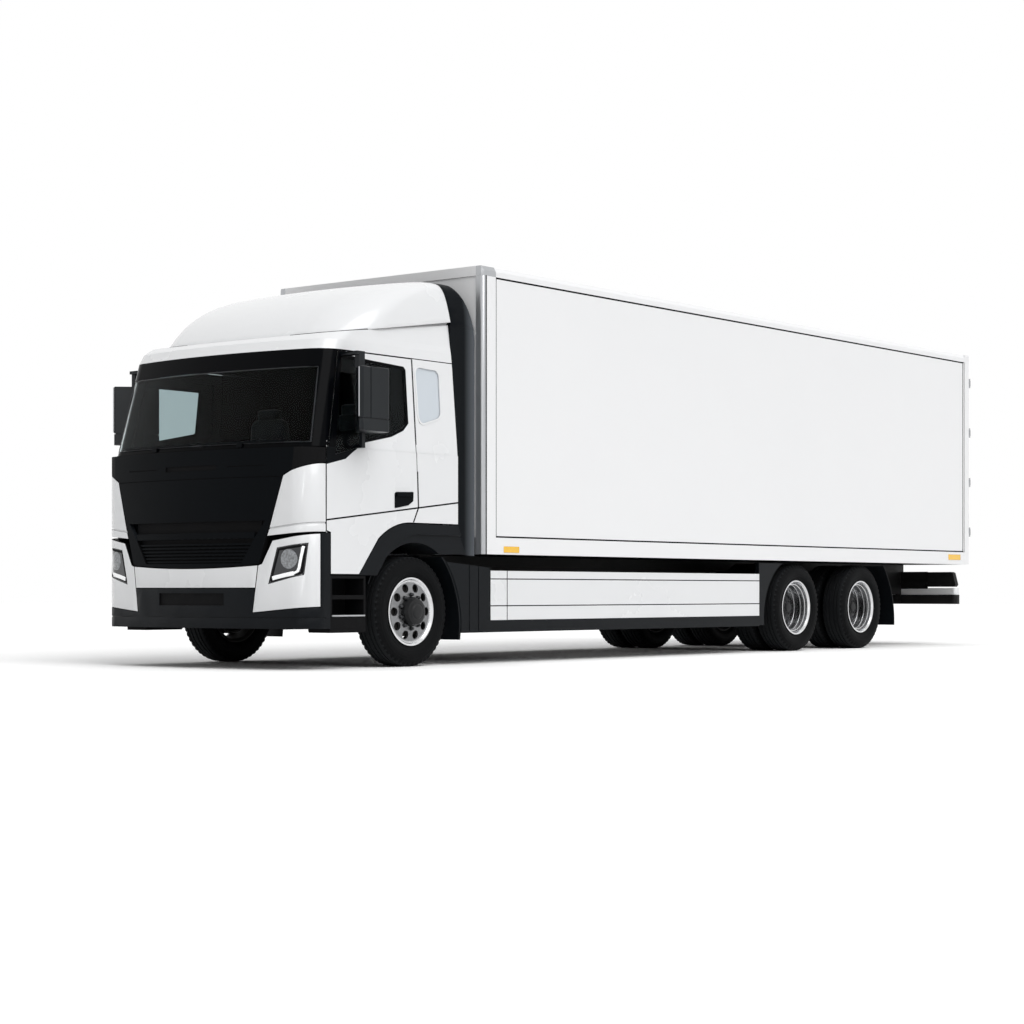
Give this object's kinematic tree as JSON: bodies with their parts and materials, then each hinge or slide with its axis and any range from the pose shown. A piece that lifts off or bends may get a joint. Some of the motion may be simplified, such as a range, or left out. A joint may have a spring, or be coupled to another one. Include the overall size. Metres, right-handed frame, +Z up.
{
  "type": "cargo truck",
  "caption": "Rigid box truck with a low cab over the engine, a closed box body with rear doors, a steered front axle and a rear tandem on twin tyres.",
  "frame": {"origin": "on the ground in the middle of the plan box", "axes": "+X is the truck's left side, the front faces -Y, +Z is up"},
  "size_m": [3.06, 12.106, 3.5998],
  "materials": {
    "cab_white": "gloss",
    "box_white": "gloss",
    "black_gloss": "gloss",
    "black_satin": "satin",
    "dark_plastic": "satin",
    "chassis_dark": "satin",
    "floor_grey": "satin",
    "seat_cloth": "cloth",
    "load_floor": "coated",
    "glass_dark": "clear",
    "lamp_clear": "clear",
    "lamp_red": "gloss",
    "lamp_amber": "gloss",
    "aluminium": "brushed",
    "rim_alloy": "polished",
    "tyre_black": "matt"
  },
  "bodies": {
    "truck": {"chassis_frame": "chassis_dark", "box_subframe": "chassis_dark", "axles": "chassis_dark", "driveline": "chassis_dark", "springs": "chassis_dark", "tanks": "aluminium", "mudguards": "dark_plastic", "side_skirts": "cab_white", "skirt_frames": "dark_plastic", "rear_bumper": "chassis_dark", "bumper_strip": "aluminium", "tail_lamps": "lamp_red", "marker_lamps": "lamp_amber", "cab_floor": "floor_grey", "cab_rear_wall": "cab_white", "cab_sides": "cab_white", "cab_front": "black_gloss", "cab_roof": "cab_white", "roof_fairing": "cab_white", "gap_fairings": "dark_plastic", "windscreen": "glass_dark", "front_panel": "black_satin", "grille": "black_satin", "corner_panels": "cab_white", "bumper_panels": "cab_white", "bumper_skirt": "dark_plastic", "headlamps": "lamp_clear", "wheel_arches": "dark_plastic", "wipers": "black_satin", "dashboard": "floor_grey", "seats": "seat_cloth", "box_floor": "load_floor", "box_panels": "box_white", "box_rails": "box_white", "rear_frame": "box_white"},
    "cab_door_left": {"door_left": "cab_white", "door_glass_left": "glass_dark", "door_trim_left": "black_satin"},
    "rear_leaf_left": {"rear_door_left": "box_white"},
    "steer_left": {"knuckle_left": "chassis_dark"},
    "front_wheel_left": {"front_rim_left": "rim_alloy", "front_tyre_left": "tyre_black"},
    "mid_wheels_left": {"mid_rims_left": "rim_alloy", "mid_tyres_left": "tyre_black"},
    "rear_wheels_left": {"rear_rims_left": "rim_alloy", "rear_tyres_left": "tyre_black"},
    "cab_door_right": {"door_right": "cab_white", "door_glass_right": "glass_dark", "door_trim_right": "black_satin"},
    "rear_leaf_right": {"rear_door_right": "box_white"},
    "steer_right": {"knuckle_right": "chassis_dark"},
    "front_wheel_right": {"front_rim_right": "rim_alloy", "front_tyre_right": "tyre_black"},
    "mid_wheels_right": {"mid_rims_right": "rim_alloy", "mid_tyres_right": "tyre_black"},
    "rear_wheels_right": {"rear_rims_right": "rim_alloy", "rear_tyres_right": "tyre_black"}
  },
  "joints": [
    {"name": "steer_left", "type": "hinge", "parent": "truck", "child": "steer_left", "pos_m": [0.93, -4.553, 0.48], "axis": [0, 0, 1], "range_deg": [-40, 40]},
    {"name": "front_spin_left", "type": "hinge", "parent": "steer_left", "child": "front_wheel_left", "pos_m": [1.075, -4.553, 0.48], "axis": [1, 0, 0], "continuous": true},
    {"name": "mid_spin_left", "type": "hinge", "parent": "truck", "child": "mid_wheels_left", "pos_m": [0.935, 1.927, 0.48], "axis": [1, 0, 0], "continuous": true},
    {"name": "rear_spin_left", "type": "hinge", "parent": "truck", "child": "rear_wheels_left", "pos_m": [0.935, 3.372, 0.48], "axis": [1, 0, 0], "continuous": true},
    {"name": "cab_door_left", "type": "hinge", "parent": "truck", "child": "cab_door_left", "pos_m": [1.235, -5.676, 1.5], "axis": [0, 0, -1], "range_deg": [0, 72]},
    {"name": "rear_door_left", "type": "hinge", "parent": "truck", "child": "rear_leaf_left", "pos_m": [1.262, 6.037, 2.3], "axis": [0, 0, -1], "range_deg": [0, 270]},
    {"name": "steer_right", "type": "hinge", "parent": "truck", "child": "steer_right", "pos_m": [-0.93, -4.553, 0.48], "axis": [0, 0, 1], "range_deg": [-40, 40]},
    {"name": "front_spin_right", "type": "hinge", "parent": "steer_right", "child": "front_wheel_right", "pos_m": [-1.075, -4.553, 0.48], "axis": [1, 0, 0], "continuous": true},
    {"name": "mid_spin_right", "type": "hinge", "parent": "truck", "child": "mid_wheels_right", "pos_m": [-0.935, 1.927, 0.48], "axis": [1, 0, 0], "continuous": true},
    {"name": "rear_spin_right", "type": "hinge", "parent": "truck", "child": "rear_wheels_right", "pos_m": [-0.935, 3.372, 0.48], "axis": [1, 0, 0], "continuous": true},
    {"name": "cab_door_right", "type": "hinge", "parent": "truck", "child": "cab_door_right", "pos_m": [-1.235, -5.676, 1.5], "axis": [0, 0, 1], "range_deg": [0, 72]},
    {"name": "rear_door_right", "type": "hinge", "parent": "truck", "child": "rear_leaf_right", "pos_m": [-1.262, 6.037, 2.3], "axis": [0, 0, 1], "range_deg": [0, 270]}
  ],
  "couplings": [
    {"joint": "steer_right", "follows": "steer_left", "ratio": 1}
  ]
}
